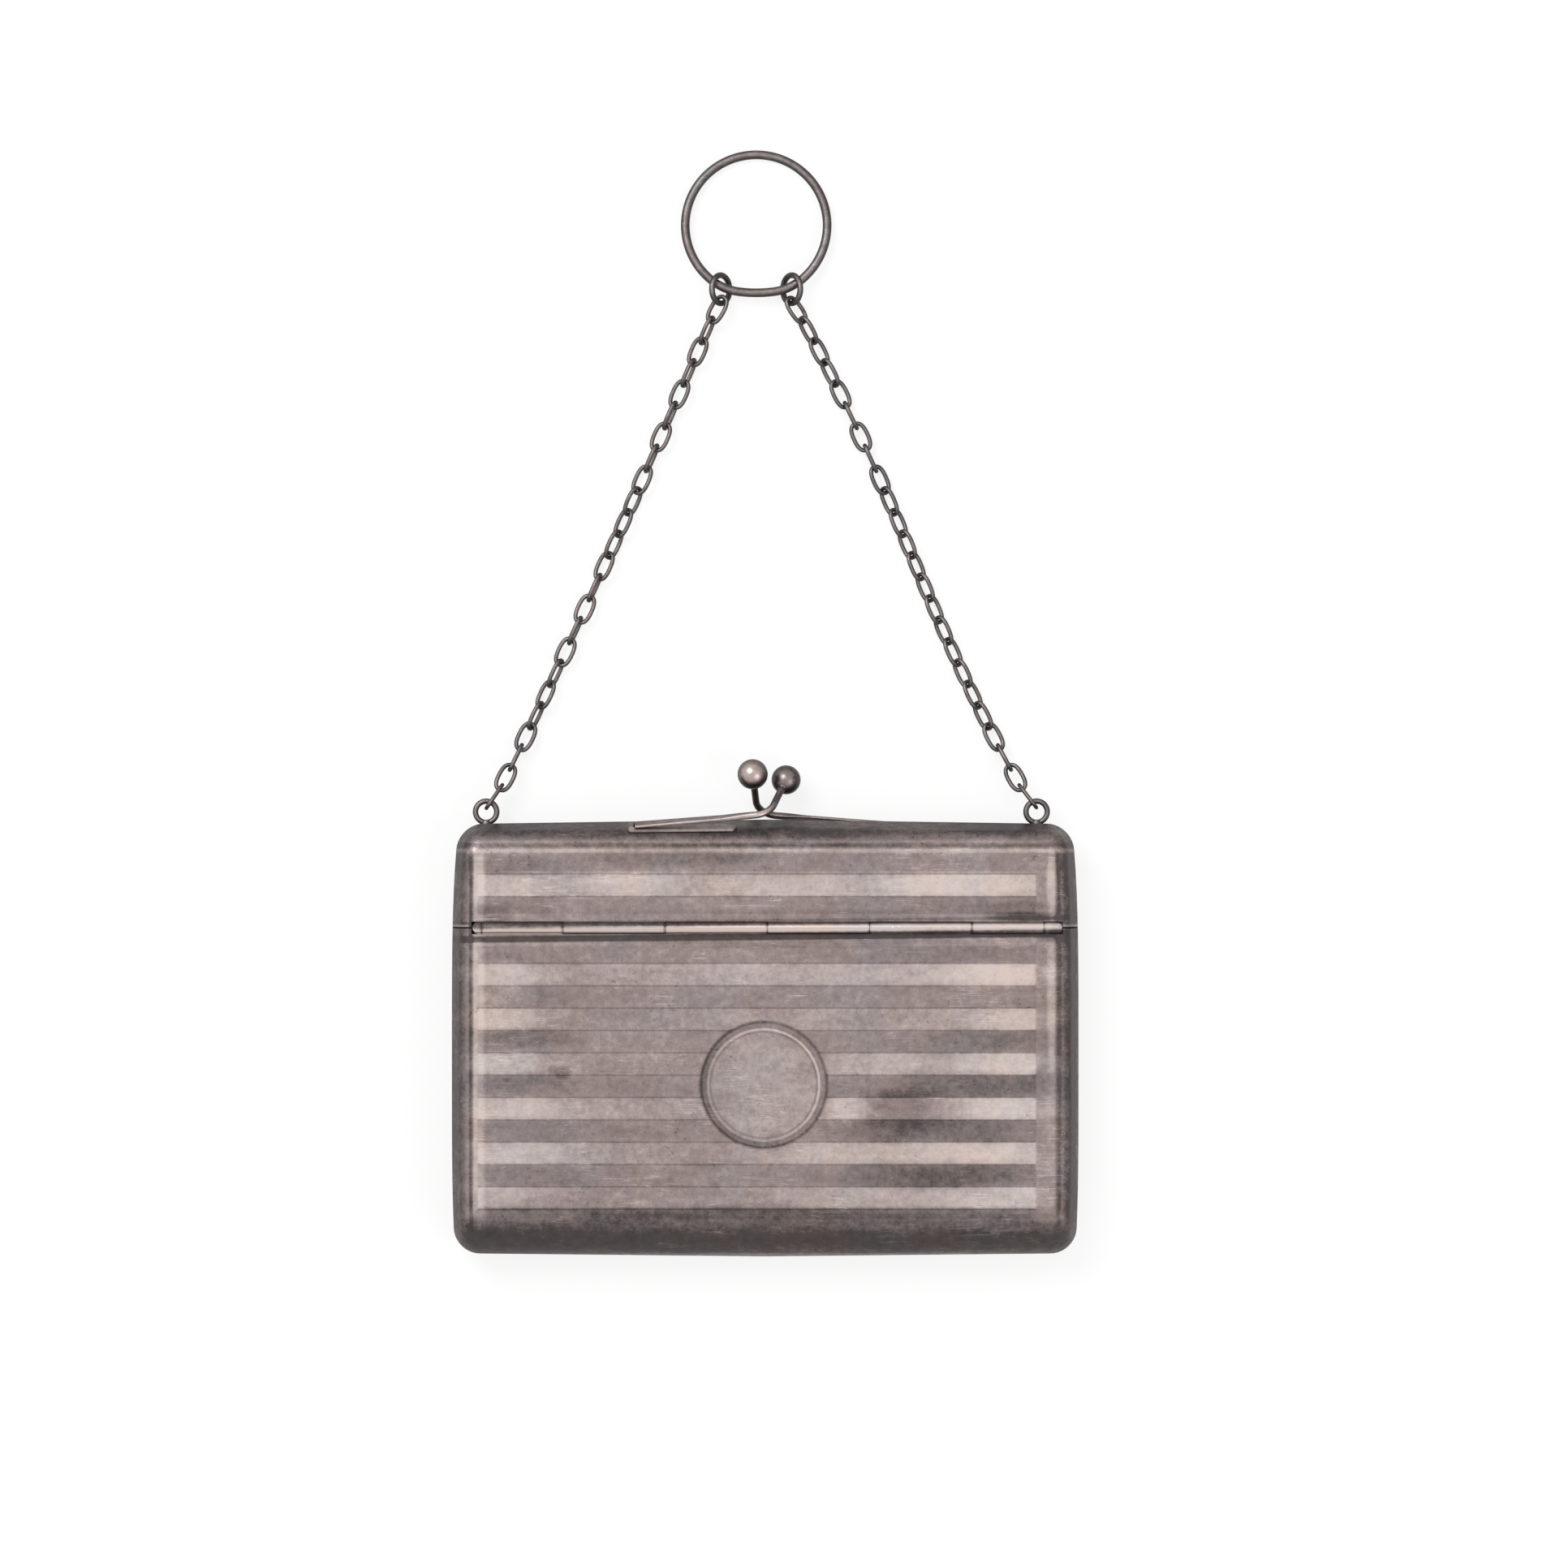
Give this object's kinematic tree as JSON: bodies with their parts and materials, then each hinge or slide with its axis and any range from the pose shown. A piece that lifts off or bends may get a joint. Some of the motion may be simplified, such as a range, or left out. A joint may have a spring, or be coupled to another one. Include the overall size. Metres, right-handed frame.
{
  "type": "card case",
  "caption": "Slim silver card case with engine-turned bands, a hinged top flap, a ball clasp, and chains to a finger ring.",
  "frame": {"origin": "middle of the case on its flat back face", "axes": "+X to the right along the hinge, +Y towards the chain and finger ring, +Z out of the front face"},
  "size_m": [0.09, 0.159, 0.0122],
  "materials": {
    "shell_silver": "tarnished silver with a soft grey-brown bloom, fine scratches and small dents",
    "panel_silver": "engine-turned silver in alternate bright and dark bands, lightly tarnished and speckled",
    "hinge_silver": "rubbed silver, bright on top with dark tarnish in the joints",
    "clasp_silver": "polished silver with light tarnish near the joins",
    "chain_silver": "dark tarnished silver, rubbed bright on the outer edges",
    "ring_silver": "polished silver wire with light scratches",
    "inner_silver": "plain sheet silver, less worn than the outside"
  },
  "bodies": {
    "case": {"back_shell": "shell_silver", "front_shell": "panel_silver", "inner_lip": "inner_silver", "body_knuckles": "hinge_silver", "hinge_pin": "hinge_silver", "hinge_end_caps": "hinge_silver", "rear_clasp_base": "clasp_silver", "left_eyelet": "chain_silver", "right_eyelet": "chain_silver"},
    "lid": {"lid_flap": "panel_silver", "lid_knuckles": "hinge_silver", "front_clasp_base": "clasp_silver"},
    "front_arm": {"front_clasp_arm": "clasp_silver", "front_ball": "clasp_silver"},
    "rear_arm": {"rear_clasp_arm": "clasp_silver", "rear_ball": "clasp_silver"},
    "row_01": {"chain_row_01": "chain_silver"},
    "row_02": {"chain_row_02": "chain_silver"},
    "row_03": {"chain_row_03": "chain_silver"},
    "row_04": {"chain_row_04": "chain_silver"},
    "row_05": {"chain_row_05": "chain_silver"},
    "row_06": {"chain_row_06": "chain_silver"},
    "row_07": {"chain_row_07": "chain_silver"},
    "row_08": {"chain_row_08": "chain_silver"},
    "row_09": {"chain_row_09": "chain_silver"},
    "row_10": {"chain_row_10": "chain_silver"},
    "row_11": {"chain_row_11": "chain_silver"},
    "row_12": {"chain_row_12": "chain_silver"},
    "row_13": {"chain_row_13": "chain_silver"},
    "row_14": {"chain_row_14": "chain_silver"},
    "row_15": {"chain_row_15": "chain_silver"},
    "row_16": {"chain_row_16": "chain_silver"},
    "row_17": {"chain_row_17": "chain_silver"},
    "row_18": {"chain_row_18": "chain_silver"},
    "row_19": {"chain_row_19": "chain_silver"},
    "row_20": {"chain_row_20": "chain_silver"},
    "row_21": {"chain_row_21": "chain_silver"},
    "row_22": {"chain_row_22": "chain_silver"},
    "row_23": {"chain_row_23": "chain_silver"},
    "row_24": {"chain_row_24": "chain_silver"},
    "jump_pair": {"jump_rings": "chain_silver"},
    "ring": {"finger_ring": "ring_silver"}
  },
  "joints": [
    {"name": "lid_hinge", "type": "hinge", "parent": "case", "child": "lid", "pos_m": [0, 0.016, 0.0114], "axis": [1, 0, 0], "range_deg": [0, 170]},
    {"name": "front_arm_flex", "type": "hinge", "parent": "lid", "child": "front_arm", "pos_m": [-0.01913, 0.03046, 0.00965], "axis": [0.0049, -0.4831, 0.8756], "range_deg": [-0.5, 3], "stiffness_Nm_per_rad": 0.16},
    {"name": "rear_arm_flex", "type": "hinge", "parent": "case", "child": "rear_arm", "pos_m": [0.01783, 0.03047, 0.00135], "axis": [0.0049, 0.4831, 0.8756], "range_deg": [-3, 0.5], "stiffness_Nm_per_rad": 0.16},
    {"name": "handle_swing", "type": "hinge", "parent": "case", "child": "row_01", "pos_m": [0, 0.034, 0.0044], "axis": [1, 0, 0], "range_deg": [-90, 80]},
    {"name": "chain_curl", "type": "hinge", "parent": "row_01", "child": "row_02", "pos_m": [0, 0.0361, 0.00345], "axis": [1, 0, 0], "range_deg": [-3.5, 3.5]},
    {"name": "curl_03", "type": "hinge", "parent": "row_02", "child": "row_03", "pos_m": [0, 0.03895, 0.00245], "axis": [1, 0, 0], "range_deg": [-3.5, 3.5]},
    {"name": "curl_04", "type": "hinge", "parent": "row_03", "child": "row_04", "pos_m": [0, 0.04188, 0.0017], "axis": [1, 0, 0], "range_deg": [-3.5, 3.5]},
    {"name": "curl_05", "type": "hinge", "parent": "row_04", "child": "row_05", "pos_m": [0, 0.04489, 0.00137], "axis": [1, 0, 0], "range_deg": [-3.5, 3.5]},
    {"name": "curl_06", "type": "hinge", "parent": "row_05", "child": "row_06", "pos_m": [0, 0.04794, 0.00137], "axis": [1, 0, 0], "range_deg": [-3.5, 3.5]},
    {"name": "curl_07", "type": "hinge", "parent": "row_06", "child": "row_07", "pos_m": [0, 0.05099, 0.00137], "axis": [1, 0, 0], "range_deg": [-3.5, 3.5]},
    {"name": "curl_08", "type": "hinge", "parent": "row_07", "child": "row_08", "pos_m": [0, 0.05406, 0.00137], "axis": [1, 0, 0], "range_deg": [-3.5, 3.5]},
    {"name": "curl_09", "type": "hinge", "parent": "row_08", "child": "row_09", "pos_m": [0, 0.05713, 0.00137], "axis": [1, 0, 0], "range_deg": [-3.5, 3.5]},
    {"name": "curl_10", "type": "hinge", "parent": "row_09", "child": "row_10", "pos_m": [0, 0.06022, 0.00137], "axis": [1, 0, 0], "range_deg": [-3.5, 3.5]},
    {"name": "curl_11", "type": "hinge", "parent": "row_10", "child": "row_11", "pos_m": [0, 0.06331, 0.00137], "axis": [1, 0, 0], "range_deg": [-3.5, 3.5]},
    {"name": "curl_12", "type": "hinge", "parent": "row_11", "child": "row_12", "pos_m": [0, 0.06641, 0.00137], "axis": [1, 0, 0], "range_deg": [-3.5, 3.5]},
    {"name": "curl_13", "type": "hinge", "parent": "row_12", "child": "row_13", "pos_m": [0, 0.06951, 0.00137], "axis": [1, 0, 0], "range_deg": [-3.5, 3.5]},
    {"name": "curl_14", "type": "hinge", "parent": "row_13", "child": "row_14", "pos_m": [0, 0.07261, 0.00137], "axis": [1, 0, 0], "range_deg": [-3.5, 3.5]},
    {"name": "curl_15", "type": "hinge", "parent": "row_14", "child": "row_15", "pos_m": [0, 0.07572, 0.00137], "axis": [1, 0, 0], "range_deg": [-3.5, 3.5]},
    {"name": "curl_16", "type": "hinge", "parent": "row_15", "child": "row_16", "pos_m": [0, 0.07882, 0.00137], "axis": [1, 0, 0], "range_deg": [-3.5, 3.5]},
    {"name": "curl_17", "type": "hinge", "parent": "row_16", "child": "row_17", "pos_m": [0, 0.08191, 0.00137], "axis": [1, 0, 0], "range_deg": [-3.5, 3.5]},
    {"name": "curl_18", "type": "hinge", "parent": "row_17", "child": "row_18", "pos_m": [0, 0.085, 0.00137], "axis": [1, 0, 0], "range_deg": [-3.5, 3.5]},
    {"name": "curl_19", "type": "hinge", "parent": "row_18", "child": "row_19", "pos_m": [0, 0.08808, 0.00137], "axis": [1, 0, 0], "range_deg": [-3.5, 3.5]},
    {"name": "curl_20", "type": "hinge", "parent": "row_19", "child": "row_20", "pos_m": [0, 0.09116, 0.00137], "axis": [1, 0, 0], "range_deg": [-3.5, 3.5]},
    {"name": "curl_21", "type": "hinge", "parent": "row_20", "child": "row_21", "pos_m": [0, 0.09423, 0.00137], "axis": [1, 0, 0], "range_deg": [-3.5, 3.5]},
    {"name": "curl_22", "type": "hinge", "parent": "row_21", "child": "row_22", "pos_m": [0, 0.09728, 0.00137], "axis": [1, 0, 0], "range_deg": [-3.5, 3.5]},
    {"name": "curl_23", "type": "hinge", "parent": "row_22", "child": "row_23", "pos_m": [0, 0.10033, 0.0016], "axis": [1, 0, 0], "range_deg": [-3.5, 3.5]},
    {"name": "curl_24", "type": "hinge", "parent": "row_23", "child": "row_24", "pos_m": [0, 0.10337, 0.00182], "axis": [1, 0, 0], "range_deg": [-3.5, 3.5]},
    {"name": "jump_ring_curl", "type": "hinge", "parent": "row_24", "child": "jump_pair", "pos_m": [0, 0.10575, 0.00207], "axis": [1, 0, 0], "range_deg": [-3.5, 3.5]},
    {"name": "ring_swing", "type": "hinge", "parent": "jump_pair", "child": "ring", "pos_m": [0, 0.10823, 0.00207], "axis": [1, 0, 0], "range_deg": [-75, 10]}
  ],
  "couplings": [
    {"joint": "curl_03", "follows": "chain_curl", "ratio": 1},
    {"joint": "curl_04", "follows": "chain_curl", "ratio": 1},
    {"joint": "curl_05", "follows": "chain_curl", "ratio": 1},
    {"joint": "curl_06", "follows": "chain_curl", "ratio": 1},
    {"joint": "curl_07", "follows": "chain_curl", "ratio": 1},
    {"joint": "curl_08", "follows": "chain_curl", "ratio": 1},
    {"joint": "curl_09", "follows": "chain_curl", "ratio": 1},
    {"joint": "curl_10", "follows": "chain_curl", "ratio": 1},
    {"joint": "curl_11", "follows": "chain_curl", "ratio": 1},
    {"joint": "curl_12", "follows": "chain_curl", "ratio": 1},
    {"joint": "curl_13", "follows": "chain_curl", "ratio": 1},
    {"joint": "curl_14", "follows": "chain_curl", "ratio": 1},
    {"joint": "curl_15", "follows": "chain_curl", "ratio": 1},
    {"joint": "curl_16", "follows": "chain_curl", "ratio": 1},
    {"joint": "curl_17", "follows": "chain_curl", "ratio": 1},
    {"joint": "curl_18", "follows": "chain_curl", "ratio": 1},
    {"joint": "curl_19", "follows": "chain_curl", "ratio": 1},
    {"joint": "curl_20", "follows": "chain_curl", "ratio": 1},
    {"joint": "curl_21", "follows": "chain_curl", "ratio": 1},
    {"joint": "curl_22", "follows": "chain_curl", "ratio": 1},
    {"joint": "curl_23", "follows": "chain_curl", "ratio": 1},
    {"joint": "curl_24", "follows": "chain_curl", "ratio": 1},
    {"joint": "jump_ring_curl", "follows": "chain_curl", "ratio": 1}
  ]
}
